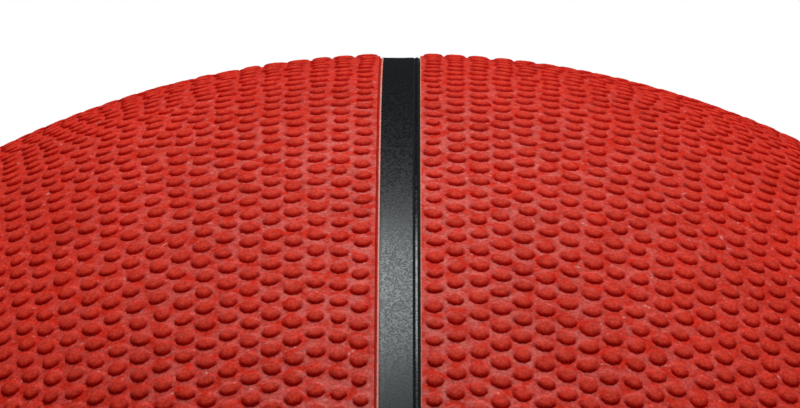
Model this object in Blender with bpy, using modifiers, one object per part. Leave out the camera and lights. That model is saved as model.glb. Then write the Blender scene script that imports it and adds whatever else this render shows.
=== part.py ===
# A moulded rubber basketball: bladder, thread winding, carcass, cover panels, channel strips and valve.
# Metres, +Z up, origin at the ball's centre. The seam over the top lies in the plane x = 0.

import math

import bmesh
import bpy
from mathutils import Quaternion, Vector

# The ball and its layers, from the outside in
BALL_DIAMETER = 0.242  # over the tips of the pebbles
PANEL_THICKNESS = 0.0015
CHANNEL_WIDTH = 0.0047
CHANNEL_DEPTH = 0.0006  # from the pebble tips down to the channel's floor
CARCASS_THICKNESS = 0.0007
WINDING_THICKNESS = 0.0004
BLADDER_THICKNESS = 0.0007

# A side oval is an ellipse seen from the ball's centre: its half angles along the equator and across it
OVAL_HALF_LENGTH = math.radians(58)
OVAL_HALF_HEIGHT = math.radians(46)

# The valve
VALVE_DIRECTION = Vector((-0.80, 0.58, 0.17)).normalized()
VALVE_FACE_DIAMETER = 0.011
VALVE_FACE_DEPTH = 0.0006  # from the pebble tips down to the valve's flat face
HOUSING_LENGTH = 0.017
HOUSING_FLANGE_DIAMETER = 0.022
HOUSING_FLANGE_THICKNESS = 0.0015
PATCH_DIAMETER = 0.036
PATCH_THICKNESS = 0.0008
PLUG_HEAD_DIAMETER = 0.0066
PLUG_HEAD_HEIGHT = 0.0012
PLUG_BODY_DIAMETER = 0.005
PLUG_LENGTH = 0.0145
PLUG_TIP_DIAMETER = 0.0034
PLUG_TIP_LENGTH = 0.0015
NEEDLE_HOLE_DIAMETER = 0.0014
NEEDLE_HOLE_DEPTH = 0.010
NEEDLE_LEAD_IN = 0.0005

# Clearances
SEAM_GAP = 0.0003  # between neighbours side by side in the cover
BOND_GAP = 0.0003  # between one layer and the next
PLUG_CLEARANCE = 0.0003

# Facets
WAIST_SEGMENTS = (28, 6)
SIDE_SEGMENTS = (16, 8)
RING_SEGMENTS = 80
SHELL_SUBDIVISIONS = 4
TURNED_STEPS = 24
PATCH_ARC_SEGMENTS = 4
CURVE_STEP = 1e-4  # radians, for a seam's direction of travel
MERGE_DISTANCE = 1e-5

# Worked out from the sizes above
BALL_RADIUS = BALL_DIAMETER / 2
CHANNEL_RADIUS = BALL_RADIUS - CHANNEL_DEPTH
PANEL_EDGE = CHANNEL_WIDTH / 2 + SEAM_GAP  # from a seam's centre line to the panels beside it
PANEL_EDGE_HEIGHT = math.sin(PANEL_EDGE / BALL_RADIUS)
VALVE_FACE_RADIUS = BALL_RADIUS - VALVE_FACE_DEPTH
VALVE_HOLE_RADIUS = VALVE_FACE_DIAMETER / 2 + SEAM_GAP

# Half turns that carry a piece modelled in the upper right front to the other places of its kind
UPPER_RIGHT = Quaternion((1, 0, 0), 0)
UPPER_LEFT = Quaternion((0, 0, 1), math.pi)
LOWER_RIGHT = Quaternion((1, 0, 0), math.pi)
LOWER_LEFT = Quaternion((0, 1, 0), math.pi)


def clear_scene():
    for old in list(bpy.data.objects):
        bpy.data.objects.remove(old, do_unlink=True)


def new_collection(name):
    collection = bpy.data.collections.new(name)
    bpy.context.scene.collection.children.link(collection)
    return collection


def new_material(name, colour, roughness, metallic=0.0):
    made = bpy.data.materials.new(name)
    made.use_nodes = True
    shader = made.node_tree.nodes["Principled BSDF"]
    shader.inputs["Base Color"].default_value = (*colour, 1.0)
    shader.inputs["Roughness"].default_value = roughness
    shader.inputs["Metallic"].default_value = metallic
    made.diffuse_color = (*colour, 1.0)
    return made


def new_object(name, mesh, collection):
    made = bpy.data.objects.new(name, mesh)
    collection.objects.link(made)
    return made


# Seams, as unit directions from the ball's centre at an angle along each seam

def meridian(angle):
    return Vector((0, -math.cos(angle), math.sin(angle)))


def equator(angle):
    return Vector((math.sin(angle), -math.cos(angle), 0))


def right_oval(angle):
    length = math.tan(OVAL_HALF_LENGTH)
    height = math.tan(OVAL_HALF_HEIGHT)
    return Vector((1, -length * math.cos(angle), height * math.sin(angle))).normalized()


def beside(seam, angle, distance):
    """The direction this far to the left of a seam's centre line, measured over the ball's surface."""
    here = seam(angle)
    travel = (seam(angle + CURVE_STEP) - seam(angle - CURVE_STEP)).normalized()
    turn = distance / BALL_RADIUS
    return here * math.cos(turn) + here.cross(travel) * math.sin(turn)


def angle_at_panel_edge(seam, distance):
    """Where the line beside a rising seam leaves the equator's channel for the upper panels."""
    low, high = 0.0, math.pi / 2
    while high - low > MERGE_DISTANCE:
        middle = (low + high) / 2
        if beside(seam, middle, distance).z < PANEL_EDGE_HEIGHT:
            low = middle
        else:
            high = middle
    return low


def blend(start, end, share):
    return start + (end - start) * share


def along_parallel(start, end, share):
    """A direction between two of equal height, at that height."""
    turn = blend(math.atan2(start.y, start.x), math.atan2(end.y, end.x), share)
    flat = math.hypot(start.x, start.y)
    return Vector((flat * math.cos(turn), flat * math.sin(turn), start.z))


def patch_direction(front, back, inner, outer, u, v):
    """A direction in a four-sided patch: front and back run with v, inner and outer with u, all from 0 to 1."""
    edges = inner(u) * (1 - v) + outer(u) * v + front(v) * (1 - u) + back(v) * u
    inner_corners = blend(inner(0), inner(1), u)
    outer_corners = blend(outer(0), outer(1), u)
    return (edges - blend(inner_corners, outer_corners, v)).normalized()


def waist_direction(u, v):
    """Over the upper right waist panel: u from front to back, v from the meridian to the oval."""
    meridian_start = angle_at_panel_edge(meridian, -PANEL_EDGE)
    oval_start = angle_at_panel_edge(right_oval, PANEL_EDGE)

    def inner(share):
        return beside(meridian, blend(meridian_start, math.pi - meridian_start, share), -PANEL_EDGE)

    def outer(share):
        return beside(right_oval, blend(oval_start, math.pi - oval_start, share), PANEL_EDGE)

    def front(share):
        return along_parallel(inner(0), outer(0), share)

    def back(share):
        return along_parallel(inner(1), outer(1), share)

    return patch_direction(front, back, inner, outer, u, v)


def side_direction(u, v):
    """Over the upper right side panel: u from front to back, v from the equator to the top of the oval."""
    oval_start = angle_at_panel_edge(right_oval, -PANEL_EDGE)
    along, across = SIDE_SEGMENTS
    corner_share = across / (along + 2 * across)  # equal steps round the oval's three edges of the patch

    def oval(share):
        return beside(right_oval, blend(oval_start, math.pi - oval_start, share), -PANEL_EDGE)

    def inner(share):
        return along_parallel(oval(0), oval(1), share)

    def outer(share):
        return oval(blend(corner_share, 1 - corner_share, share))

    def front(share):
        return oval(corner_share * share)

    def back(share):
        return oval(1 - corner_share * share)

    return patch_direction(front, back, inner, outer, u, v)


def strip_direction(seam, start, end):
    """A strip's directions: u along the seam between two angles, v across the channel."""

    def direction(u, v):
        return beside(seam, blend(start, end, u), CHANNEL_WIDTH * (v - 0.5))

    return direction


# Meshes

def bent_grid(name, segments, radius, direction, material):
    """A flat grid bent onto the ball, facing outwards. A grid that runs right round is joined at its ends."""
    mesh = bpy.data.meshes.new(name)
    bm = bmesh.new()
    bmesh.ops.create_grid(bm, x_segments=segments[0], y_segments=segments[1], size=0.5)
    for vertex in bm.verts:
        vertex.co = direction(vertex.co.x + 0.5, vertex.co.y + 0.5) * radius
    bmesh.ops.remove_doubles(bm, verts=bm.verts, dist=MERGE_DISTANCE)
    bm.normal_update()
    if sum(face.normal.dot(face.calc_center_median()) for face in bm.faces) < 0:
        bmesh.ops.reverse_faces(bm, faces=bm.faces)
    bm.to_mesh(mesh)
    bm.free()
    mesh.materials.append(material)
    mesh.shade_smooth()
    return mesh


def ball_mesh(name, radius, material):
    mesh = bpy.data.meshes.new(name)
    bm = bmesh.new()
    bmesh.ops.create_icosphere(bm, subdivisions=SHELL_SUBDIVISIONS, radius=radius)
    bm.to_mesh(mesh)
    bm.free()
    mesh.materials.append(material)
    mesh.shade_smooth()
    return mesh


def lowest_facet(mesh):
    """How near to the ball's centre the flat facets of a mesh come, midway between their corners."""
    middles = []
    for polygon in mesh.polygons:
        corners = [mesh.vertices[index].co for index in polygon.vertices]
        middles.append(sum(corners, Vector()) / len(corners))
        middles += [(first + second) / 2 for first, second in zip(corners, corners[2:])]
    return min(middle.length for middle in middles)


def thicken(part, thickness):
    """Adds the wall inwards from the modelled surface."""
    solidify = part.modifiers.new("wall", "SOLIDIFY")
    solidify.thickness = thickness
    solidify.offset = -1
    solidify.use_even_offset = True


def cut(part, cutter):
    boolean = part.modifiers.new("valve hole", "BOOLEAN")
    boolean.operation = "DIFFERENCE"
    boolean.object = cutter


def turned(name, profile, material, collection, closed=False):
    """A profile of (radius, height) points, turned about Z."""
    mesh = bpy.data.meshes.new(name)
    bm = bmesh.new()
    corners = [bm.verts.new((radius, 0, height)) for radius, height in profile]
    for first, second in zip(corners, corners[1:]):
        bm.edges.new((first, second))
    if closed:
        bm.edges.new((corners[-1], corners[0]))
    bm.to_mesh(mesh)
    bm.free()
    mesh.materials.append(material)
    made = new_object(name, mesh, collection)
    screw = made.modifiers.new("turn", "SCREW")
    screw.steps = TURNED_STEPS
    screw.render_steps = TURNED_STEPS
    screw.use_merge_vertices = True
    screw.merge_threshold = MERGE_DISTANCE
    return made


# Pieces

def add_cover(parts, cutter, rubber):
    """The eight cover panels. Returns the radius that their inner facets stay outside."""
    places = {
        "upper_right": UPPER_RIGHT,
        "upper_left": UPPER_LEFT,
        "lower_right": LOWER_RIGHT,
        "lower_left": LOWER_LEFT,
    }
    waist = bent_grid("waist_panel", WAIST_SEGMENTS, BALL_RADIUS, waist_direction, rubber)
    side = bent_grid("side_panel", SIDE_SEGMENTS, BALL_RADIUS, side_direction, rubber)
    for kind, mesh in (("waist_panel", waist), ("side_panel", side)):
        for place, turn in places.items():
            panel = new_object(f"{kind}_{place}", mesh, parts)
            panel.rotation_euler = turn.to_euler()
            thicken(panel, PANEL_THICKNESS)
    cut(parts.objects["side_panel_upper_left"], cutter)
    return min(lowest_facet(waist), lowest_facet(side)) - PANEL_THICKNESS


def add_channels(parts, carcass_radius, rubber):
    """The strips of the channels: two kinds of closed ring, and the equator in lengths between them."""
    crossing = math.atan2(right_oval(0).x, -right_oval(0).y)  # along the equator, from the meridian to the oval
    end = PANEL_EDGE / BALL_RADIUS
    per_turn = RING_SEGMENTS / (2 * math.pi)
    lengths = {
        "meridian": (meridian, 0, 2 * math.pi, {"": UPPER_RIGHT}),
        "oval": (right_oval, 0, 2 * math.pi, {"_right": UPPER_RIGHT, "_left": UPPER_LEFT}),
        "equator_front_and_back": (
            equator,
            end,
            crossing - end,
            {
                "_front_right": UPPER_RIGHT,
                "_back_left": UPPER_LEFT,
                "_back_right": LOWER_RIGHT,
                "_front_left": LOWER_LEFT,
            },
        ),
        "equator_sides": (
            equator,
            crossing + end,
            math.pi - crossing - end,
            {"_right": UPPER_RIGHT, "_left": UPPER_LEFT},
        ),
    }
    for kind, (seam, start, finish, places) in lengths.items():
        segments = (math.ceil((finish - start) * per_turn), 1)
        direction = strip_direction(seam, start, finish)
        mesh = bent_grid(f"channel_{kind}", segments, CHANNEL_RADIUS, direction, rubber)
        thickness = lowest_facet(mesh) - BOND_GAP - carcass_radius
        for place, turn in places.items():
            strip = new_object("channel_" + kind.split("_")[0] + place, mesh, parts)
            strip.rotation_euler = turn.to_euler()
            thicken(strip, thickness)


def add_shell(name, radius, thickness, cutter, material, parts, valve_axis):
    """One inner layer: a hollow ball, open at the valve. Returns the radius that its inner facets stay outside."""
    mesh = ball_mesh(name, radius, material)
    shell = new_object(name, mesh, parts)
    shell.parent = valve_axis
    thicken(shell, thickness)
    cut(shell, cutter)
    return lowest_facet(mesh) - thickness


def add_valve_patch(parts, valve_axis, patch_radius, fabric):
    """The reinforcing washer inside the bladder."""
    outside = []
    inside = []
    for step in range(PATCH_ARC_SEGMENTS + 1):
        from_axis = blend(VALVE_HOLE_RADIUS, PATCH_DIAMETER / 2, step / PATCH_ARC_SEGMENTS)
        outside.append((from_axis, math.sqrt(patch_radius**2 - from_axis**2)))
        inside.append((from_axis, math.sqrt((patch_radius - PATCH_THICKNESS) ** 2 - from_axis**2)))
    patch = turned("valve_patch", outside + inside[::-1], fabric, parts, closed=True)
    patch.parent = valve_axis


def add_valve_housing(parts, valve_axis, flange_top, rubber):
    """The rubber housing, with its flat face outside, its flange inside the bladder and a bore for the plug."""
    neck = VALVE_FACE_DIAMETER / 2
    flange = HOUSING_FLANGE_DIAMETER / 2
    flange_foot = flange_top - HOUSING_FLANGE_THICKNESS
    bore = PLUG_BODY_DIAMETER / 2 + PLUG_CLEARANCE
    seat = PLUG_HEAD_DIAMETER / 2 + PLUG_CLEARANCE
    seat_floor = -PLUG_HEAD_HEIGHT - PLUG_CLEARANCE
    profile = [
        (seat, seat_floor),
        (seat, 0),
        (neck, 0),
        (neck, flange_top),
        (flange, flange_top),
        (flange, flange_foot),
        (neck, flange_foot),
        (neck, -HOUSING_LENGTH),
        (bore, -HOUSING_LENGTH),
        (bore, seat_floor),
    ]
    housing = turned("valve_housing", profile, rubber, parts, closed=True)
    housing.parent = valve_axis
    housing.location.z = VALVE_FACE_RADIUS


def add_valve_plug(parts, valve_axis, rubber):
    """The plug that seals round a pump's needle. It pulls out along the valve's axis."""
    needle = NEEDLE_HOLE_DIAMETER / 2
    profile = [
        (0, -NEEDLE_HOLE_DEPTH),
        (needle, needle - NEEDLE_HOLE_DEPTH),
        (needle, -NEEDLE_LEAD_IN),
        (needle + NEEDLE_LEAD_IN, 0),
        (PLUG_HEAD_DIAMETER / 2, 0),
        (PLUG_HEAD_DIAMETER / 2, -PLUG_HEAD_HEIGHT),
        (PLUG_BODY_DIAMETER / 2, -PLUG_HEAD_HEIGHT),
        (PLUG_BODY_DIAMETER / 2, PLUG_TIP_LENGTH - PLUG_LENGTH),
        (PLUG_TIP_DIAMETER / 2, -PLUG_LENGTH),
        (0, -PLUG_LENGTH),
    ]
    plug = turned("valve_plug", profile, rubber, parts)
    plug.parent = valve_axis
    plug.location.z = VALVE_FACE_RADIUS


def add_valve_cutter(cutters, valve_axis):
    """A rod through every layer between the bladder's air space and the outside."""
    mesh = bpy.data.meshes.new("valve_hole_cutter")
    bm = bmesh.new()
    bmesh.ops.create_cone(
        bm,
        cap_ends=True,
        segments=TURNED_STEPS,
        radius1=VALVE_HOLE_RADIUS,
        radius2=VALVE_HOLE_RADIUS,
        depth=BALL_RADIUS,
    )
    bm.to_mesh(mesh)
    bm.free()
    cutter = new_object("valve_hole_cutter", mesh, cutters)
    cutter.parent = valve_axis
    cutter.location.z = BALL_RADIUS
    cutter.hide_render = True
    cutter.display_type = "WIRE"
    return cutter


def main():
    clear_scene()
    parts = new_collection("basketball")
    cutters = new_collection("cutters")

    cover_rubber = new_material("cover_rubber", (0.485, 0.033, 0.021), 0.5)
    channel_rubber = new_material("channel_rubber", (0.012, 0.013, 0.014), 0.42)
    carcass_rubber = new_material("carcass_rubber", (0.035, 0.03, 0.028), 0.7)
    nylon_thread = new_material("nylon_thread", (0.68, 0.64, 0.55), 0.55)
    butyl_rubber = new_material("butyl_rubber", (0.018, 0.018, 0.02), 0.5)
    patch_fabric = new_material("patch_fabric", (0.3, 0.24, 0.17), 0.85)
    valve_rubber = new_material("valve_rubber", (0.015, 0.015, 0.016), 0.5)
    plug_rubber = new_material("plug_rubber", (0.03, 0.03, 0.032), 0.45)

    valve_axis = new_object("valve_axis", None, parts)
    valve_axis.rotation_mode = "QUATERNION"
    valve_axis.rotation_quaternion = VALVE_DIRECTION.to_track_quat("Z", "Y")
    cutter = add_valve_cutter(cutters, valve_axis)

    carcass_radius = add_cover(parts, cutter, cover_rubber) - BOND_GAP
    add_channels(parts, carcass_radius, channel_rubber)
    winding_radius = carcass_radius - CARCASS_THICKNESS - BOND_GAP
    bladder_radius = winding_radius - WINDING_THICKNESS - BOND_GAP
    add_shell("carcass", carcass_radius, CARCASS_THICKNESS, cutter, carcass_rubber, parts, valve_axis)
    add_shell("thread_winding", winding_radius, WINDING_THICKNESS, cutter, nylon_thread, parts, valve_axis)
    inside = add_shell("bladder", bladder_radius, BLADDER_THICKNESS, cutter, butyl_rubber, parts, valve_axis)

    patch_radius = inside - BOND_GAP
    add_valve_patch(parts, valve_axis, patch_radius, patch_fabric)
    patch_inside = patch_radius - PATCH_THICKNESS
    flange_top = math.sqrt(patch_inside**2 - (HOUSING_FLANGE_DIAMETER / 2) ** 2) - BOND_GAP
    add_valve_housing(parts, valve_axis, flange_top - VALVE_FACE_RADIUS, valve_rubber)
    add_valve_plug(parts, valve_axis, plug_rubber)


main()
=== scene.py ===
import math
from functools import partial

import bpy
import numpy as np
from mathutils import Matrix, Vector
from mathutils.geometry import delaunay_2d_cdt


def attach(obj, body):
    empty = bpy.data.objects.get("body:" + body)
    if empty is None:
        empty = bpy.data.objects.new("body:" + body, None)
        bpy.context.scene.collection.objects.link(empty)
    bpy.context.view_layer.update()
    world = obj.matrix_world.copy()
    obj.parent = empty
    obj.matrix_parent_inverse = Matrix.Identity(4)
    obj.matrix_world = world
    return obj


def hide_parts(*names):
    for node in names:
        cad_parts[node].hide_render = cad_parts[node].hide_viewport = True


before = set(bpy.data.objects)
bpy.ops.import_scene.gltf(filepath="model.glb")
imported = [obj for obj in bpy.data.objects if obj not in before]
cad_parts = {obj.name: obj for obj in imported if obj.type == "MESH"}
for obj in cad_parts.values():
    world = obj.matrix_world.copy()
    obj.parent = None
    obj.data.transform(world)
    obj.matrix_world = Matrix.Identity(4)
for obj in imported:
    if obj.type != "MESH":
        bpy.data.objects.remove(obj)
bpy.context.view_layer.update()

# Looks of a moulded rubber basketball round its CAD frame. Metres, +Z up, the ball's centre at the origin.
mm = 0.001
ball = {
    "radius": 121 * mm,  # over the tips of the pebbles
    "landDepth": 0.36 * mm,  # from the tips down to the rubber between them
    "innerDepth": 1.45 * mm,  # from the tips down to the cover's inner face
    "panelEdge": 2.65 * mm,  # from a seam's centre line to the panels beside it
    "ovalHalfLength": math.radians(58),
    "ovalHalfHeight": math.radians(46),
}
radius = ball["radius"]
halfTurns = {  # from a piece modelled in the upper right to the others of its kind
    "upper_right": Matrix.Identity(4),
    "upper_left": Matrix.Rotation(math.pi, 4, "Z"),
    "lower_right": Matrix.Rotation(math.pi, 4, "X"),
    "lower_left": Matrix.Rotation(math.pi, 4, "Y"),
}
noiseSpan = (0.3, 0.7)  # where most values of a noise lie
white = (1, 1, 1, 1)


def linear(hexColour):
    parts = [int(hexColour[place:place + 2], 16) / 255 for place in (1, 3, 5)]
    return [part / 12.92 if part <= 0.04045 else ((part + 0.055) / 1.055) ** 2.4 for part in parts] + [1.0]


def span(low, high, least=0.0, most=1.0, way="LINEAR"):  # settings that map one range to another
    return {"From Min": low, "From Max": high, "To Min": least, "To Max": most, "interpolation_type": way}


def setNode(node, settings):  # each setting is a value, or the output of another node
    for name, value in settings.items():
        if isinstance(value, bpy.types.NodeSocket):
            node.id_data.links.new(value, node.inputs[name])
        elif isinstance(name, int) or name in node.inputs:
            node.inputs[name].default_value = value
        else:
            setattr(node, name, value)


def addNode(tree, kind, settings=None, output=0):
    node = tree.nodes.new("ShaderNode" + kind)
    setNode(node, settings or {})
    return node.outputs[output]


def newMaterial(name):
    material = bpy.data.materials.new(name)
    material.use_nodes = True
    tree = material.node_tree
    return material, tree.nodes["Principled BSDF"], partial(addNode, tree)


# Materials

coverRubber = {
    # colour by height, from the land to the tips, with painted shade where a pebble stands on the land and on
    # its flanks, and a painted highlight on its tips
    "tonesWithPaintedLight": ((0.0, "#dc3020"), (0.05, "#b00200"), (0.6, "#c00c06"), (0.95, "#e4402e")),
    "edgeShineTone": "#dc8d74",  # painted highlight along the panel's edge beside the top channel
    "sheenTone": "#f09a92",  # painted sheen and glints of the lamps, on the land
    "glintSize": 0.75 * mm,
    "glints": span(0.67, 0.8, 0.0, 0.8),  # painted glints, at the peaks of a noise
    "sheenPatchSize": 1.5 * mm,
    "sheenPatches": span(0.35, 0.65),  # painted sheen in patches between the glints
    "sheenReach": span(0.0, 45 * mm, 0.44, 0.1),  # the painted sheen is strongest beside the top channel
    "sheenTowardsTop": span(98 * mm, 113 * mm, 1.0, 0.25),  # the painted sheen fades towards the top
    "bareHeight": span(0.15, 0.6, 0.0, 1.0, "SMOOTHSTEP"),  # where on a pebble the painted sheen and glints end
    "shadedFlank": span(0.0, -0.5, 1.0, 5.0),  # painted shade: the painted sheen ends lower on the flanks that look down, away from the lamps
    "flankLight": span(-0.1, 0.35, 0.0, 0.9, "SMOOTHSTEP"),  # painted light: how far the flanks that look towards the lamps take the land's tone and its painted sheen
    "roughness": span(0.0, 1.0, 0.54, 0.6),  # of the land and of the pebbles
    "specular": 0.03,
    "sheen": "#ffeecd",
    "grainSize": 0.36 * mm,  # the mould's grit on every pebble
    "grainHeight": 0.036 * mm,
    "grainShade": span(0.35, 0.65, 0.76, 1.24),
    "mottleSize": 14 * mm,
    "mottleShade": span(*noiseSpan, 0.95, 1.05),
    "pebbleShade": span(0.0, 1.0, 0.95, 1.05),  # from one pebble to the next
}


def makeCoverRubber(look):  # pigmented rubber, press moulded: a satin red with a fine grain on each pebble
    material, shader, add = newMaterial("pressMouldedRedRubber")
    spot = add("TexCoord", output="Object")
    place = add("SeparateXYZ", {"Vector": spot}).node.outputs
    marks = ("rise", "chance", "flank")
    rise, chance, flank = (add("Attribute", {"attribute_name": mark}, "Fac") for mark in marks)
    sizes = (("grainSize", 2.0), ("mottleSize", 3.0), ("glintSize", 1.0), ("sheenPatchSize", 2.0))
    grain, mottle, glints, patches = (
        add("TexNoise", {"Vector": spot, "Scale": 1 / look[size], "Detail": detail}) for size, detail in sizes
    )
    grain.node.inputs["Roughness"].default_value = 0.6  # grittier than the others

    # painted sheen and glints lie on the land; painted light pales the flanks that look up towards the lamps,
    # and the flanks that look down keep their painted shade
    shadedFlank = add("MapRange", {"Value": flank, **look["shadedFlank"]})
    cleared = add("Math", {"operation": "MULTIPLY", 0: rise, 1: shadedFlank})
    onPebble = add("MapRange", {"Value": cleared, **look["bareHeight"]})
    flankLit = add("MapRange", {"Value": flank, **look["flankLight"]})
    unlit = add("Math", {"operation": "SUBTRACT", 0: 1.0, 1: flankLit})
    bare = add("Math", {"operation": "MULTIPLY", 0: onPebble, 1: unlit})
    onLand = add("Math", {"operation": "SUBTRACT", 0: 1.0, 1: bare})
    # painted sheen and glints on the land: strongest beside the top channel, fading towards the top
    aside = add("Math", {"operation": "ABSOLUTE", 0: place["X"]})
    settled = add("MapRange", {"Value": aside, **look["sheenReach"]})
    sheenTowardsTop = add("MapRange", {"Value": place["Z"], **look["sheenTowardsTop"]})
    most = add("Math", {"operation": "MULTIPLY", 0: settled, 1: sheenTowardsTop})
    sheenPatched = add("MapRange", {"Value": patches, **look["sheenPatches"], "To Max": most})
    bright = add("MapRange", {"Value": glints, **look["glints"]})
    pale = add("Math", {"operation": "MAXIMUM", 0: bright, 1: sheenPatched})
    paintedSheen = add("Math", {"operation": "MULTIPLY", 0: pale, 1: onLand})
    # painted highlight on the panel's rim, where the rise is below zero
    edgeShine = add("MapRange", {"Value": rise, **span(0.0, -1.0)})

    # colour by height: painted shade at the feet and on the flanks, painted highlight on the tips
    colour = add("ValToRGB", {"Fac": rise})
    stops = colour.node.color_ramp.elements
    for height, tone in look["tonesWithPaintedLight"]:
        stop = stops[0] if height == 0 else stops.new(height)
        stop.color = linear(tone)
    stops.remove(stops[-1])  # the ramp's own white end
    for share, tone in ((flankLit, look["tonesWithPaintedLight"][0][1]), (edgeShine, look["edgeShineTone"]), (paintedSheen, look["sheenTone"])):
        colour = add("Mix", {"data_type": "RGBA", 0: share, 6: colour, 7: linear(tone)}, 2)
    for pattern, shade in ((chance, "pebbleShade"), (grain, "grainShade"), (mottle, "mottleShade")):
        scale = add("MapRange", {"Value": pattern, **look[shade]})
        colour = add("VectorMath", {"operation": "SCALE", 0: colour, "Scale": scale})
    setNode(shader, {
        "Base Color": colour,
        "Roughness": add("MapRange", {"Value": onPebble, **look["roughness"]}),
        "Normal": add("Bump", {"Distance": look["grainHeight"], "Height": grain}),
        "Specular IOR Level": look["specular"],
        "Specular Tint": linear(look["sheen"]),
    })
    return material


channelPaint = {
    "black": "#121519",
    "shadedGroove": "#b4140a",  # red rubber beside it, darkened as painted shade in the groove
    "bare": "#eb9c8b",  # red rubber that the black misses along one edge, painted pale as a highlight on that lip
    "specular": 0.2,
    "sheen": "#f4ffff",
    "grainSize": 0.2 * mm,
    "grainHeight": 0.002 * mm,
    "grainShade": span(*noiseSpan, 0.8, 1.2),
    "uneven": span(*noiseSpan, -0.075, 0.075),  # how far its roughness wanders
}


def makeChannelPaint(look):  # black rubber ink sprayed into the channel: satin, with a fine sandy tooth
    material, shader, add = newMaterial("sprayedBlackRubberInk")
    spot = add("TexCoord", output="Object")
    marks = ("paint", "finish")
    paint, gloss = (add("Attribute", {"attribute_name": mark}, "Fac") for mark in marks)
    grain = add("TexVoronoi", {"Vector": spot, "Scale": 1 / look["grainSize"]}, "Color")
    tone = add("ValToRGB", {"Fac": paint})
    stops = tone.node.color_ramp.elements
    stops.new(0.5)
    for stop, name in zip(stops, ("bare", "shadedGroove", "black")):
        stop.color = linear(look[name])
    speckle = add("MapRange", {"Value": grain, **look["grainShade"]})
    uneven = add("MapRange", {"Value": grain, **look["uneven"]})
    setNode(shader, {
        "Base Color": add("VectorMath", {"operation": "SCALE", 0: tone, "Scale": speckle}),
        "Roughness": add("Math", {"operation": "ADD", 0: gloss, 1: uneven}),
        "Normal": add("Bump", {"Distance": look["grainHeight"], "Height": grain}),
        "Specular IOR Level": look["specular"],
        "Specular Tint": linear(look["sheen"]),
    })
    return material


plainRubbers = {  # dark and light tone, least and most roughness, grain size and height
    "mouldedCarcassRubber": ("#2e2927", "#3c3733", 0.64, 0.76, 0.6 * mm, 0.03 * mm),
    "dippedButylRubber": ("#202024", "#2c2c30", 0.39, 0.51, 2.5 * mm, 0.02 * mm),
    "mouldedValveRubber": ("#1c1c1c", "#282828", 0.44, 0.56, 0.25 * mm, 0.01 * mm),
    "mouldedPlugRubber": ("#2a2a2c", "#38383a", 0.39, 0.51, 0.25 * mm, 0.01 * mm),
}


def makePlainRubber(name):  # dark rubber straight from its mould: dull, slightly uneven in tone
    dark, light, least, most, grainSize, grainHeight = plainRubbers[name]
    material, shader, add = newMaterial(name)
    spot = add("TexCoord", output="Object")
    grain = add("TexNoise", {"Vector": spot, "Scale": 1 / grainSize, "Detail": 3.0})
    speckle = add("MapRange", {"Value": grain, **span(*noiseSpan)})
    setNode(shader, {
        "Base Color": add("Mix", {"data_type": "RGBA", 0: speckle, 6: linear(dark), 7: linear(light)}, 2),
        "Roughness": add("MapRange", {"Value": grain, **span(*noiseSpan, least, most)}),
        "Normal": add("Bump", {"Distance": grainHeight, "Height": grain}),
    })
    return material


threads = {  # tone and roughness of the gaps, whose tone is painted shade, and of the thread, spacing, and each layer's turns in degrees
    "woundNylonThread": ("#8f887a", 0.7, "#d6d1c4", 0.55, 0.9 * mm, ((0, 0, 0), (60, 35, 0), (-50, 20, 70))),
    "wovenCottonPatch": ("#5d5446", 0.95, "#948773", 0.8, 0.7 * mm, ((0, 9.8, 54.1), (90, 9.8, 54.1))),
}
waveSpacing = math.pi / 10  # of a wave texture at scale 1
threadHeight = 0.25  # share of the spacing


def makeThread(name):  # thread laid side by side in crossing layers: a pale fibrous sheen, with painted shade in the gaps
    gapShade, gapRoughness, thread, roughness, spacing, layers = threads[name]
    material, shader, add = newMaterial(name)
    spot = add("TexCoord", output="Object")
    wave = {"bands_direction": "Z", "Scale": waveSpacing / spacing, "Distortion": 0.8, "Detail": 1.0}
    height = 0.0
    for layer in layers:
        turn = [math.radians(angle) for angle in layer]
        turned = add("Mapping", {"Vector": spot, "Rotation": turn})
        band = add("TexWave", {"Vector": turned, **wave}, "Fac")
        height = add("Math", {"operation": "MAXIMUM", 0: height, 1: band})
    setNode(shader, {
        "Base Color": add("Mix", {"data_type": "RGBA", 0: height, 6: linear(gapShade), 7: linear(thread)}, 2),
        "Roughness": add("MapRange", {"Value": height, **span(0.0, 1.0, gapRoughness, roughness)}),
        "Normal": add("Bump", {"Distance": threadHeight * spacing, "Height": height}),
    })
    return material


# Seams, as unit directions from the ball's centre

samples = {"edge": 2000, "column": 700, "arc": 400, "strip": 4000}  # along a line, to measure it
halvings = 50  # in the search for an angle
nudge = 1e-4  # radians, to see which way a seam runs


def unit(vectors):
    return vectors / np.linalg.norm(vectors, axis=-1, keepdims=True)


def meridian(angles):
    return np.stack([0 * angles, -np.cos(angles), np.sin(angles)], -1)


def equator(angles):
    return np.stack([np.sin(angles), -np.cos(angles), 0 * angles], -1)


def rightOval(angles):
    length, height = math.tan(ball["ovalHalfLength"]), math.tan(ball["ovalHalfHeight"])
    return unit(np.stack([1 + 0 * angles, -length * np.cos(angles), height * np.sin(angles)], -1))


def beside(seam, angles, distance):  # this far to the left of the way the seam runs
    angles = np.asarray(angles, float)
    here = seam(angles)
    travel = unit(seam(angles + nudge) - seam(angles - nudge))
    turn = np.asarray(distance / radius)[..., None]
    return here * np.cos(turn) + np.cross(here, travel) * np.sin(turn)


def leaveEquator(seam, distance, height):  # where a line beside a rising seam is this far above the equator
    low, high = 0.0, math.pi / 2
    for _ in range(halvings):
        middle = (low + high) / 2
        if beside(seam, middle, distance)[2] < math.sin(height / radius):
            low = middle
        else:
            high = middle
    return low


def alongParallel(start, end, share):  # between two directions of equal height, at that height
    first, last = math.atan2(start[1], start[0]), math.atan2(end[1], end[0])
    turn = first + (last - first) * share
    flat = math.hypot(start[0], start[1])
    return np.stack([flat * np.cos(turn), flat * np.sin(turn), start[2] + 0 * turn], -1)


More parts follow.
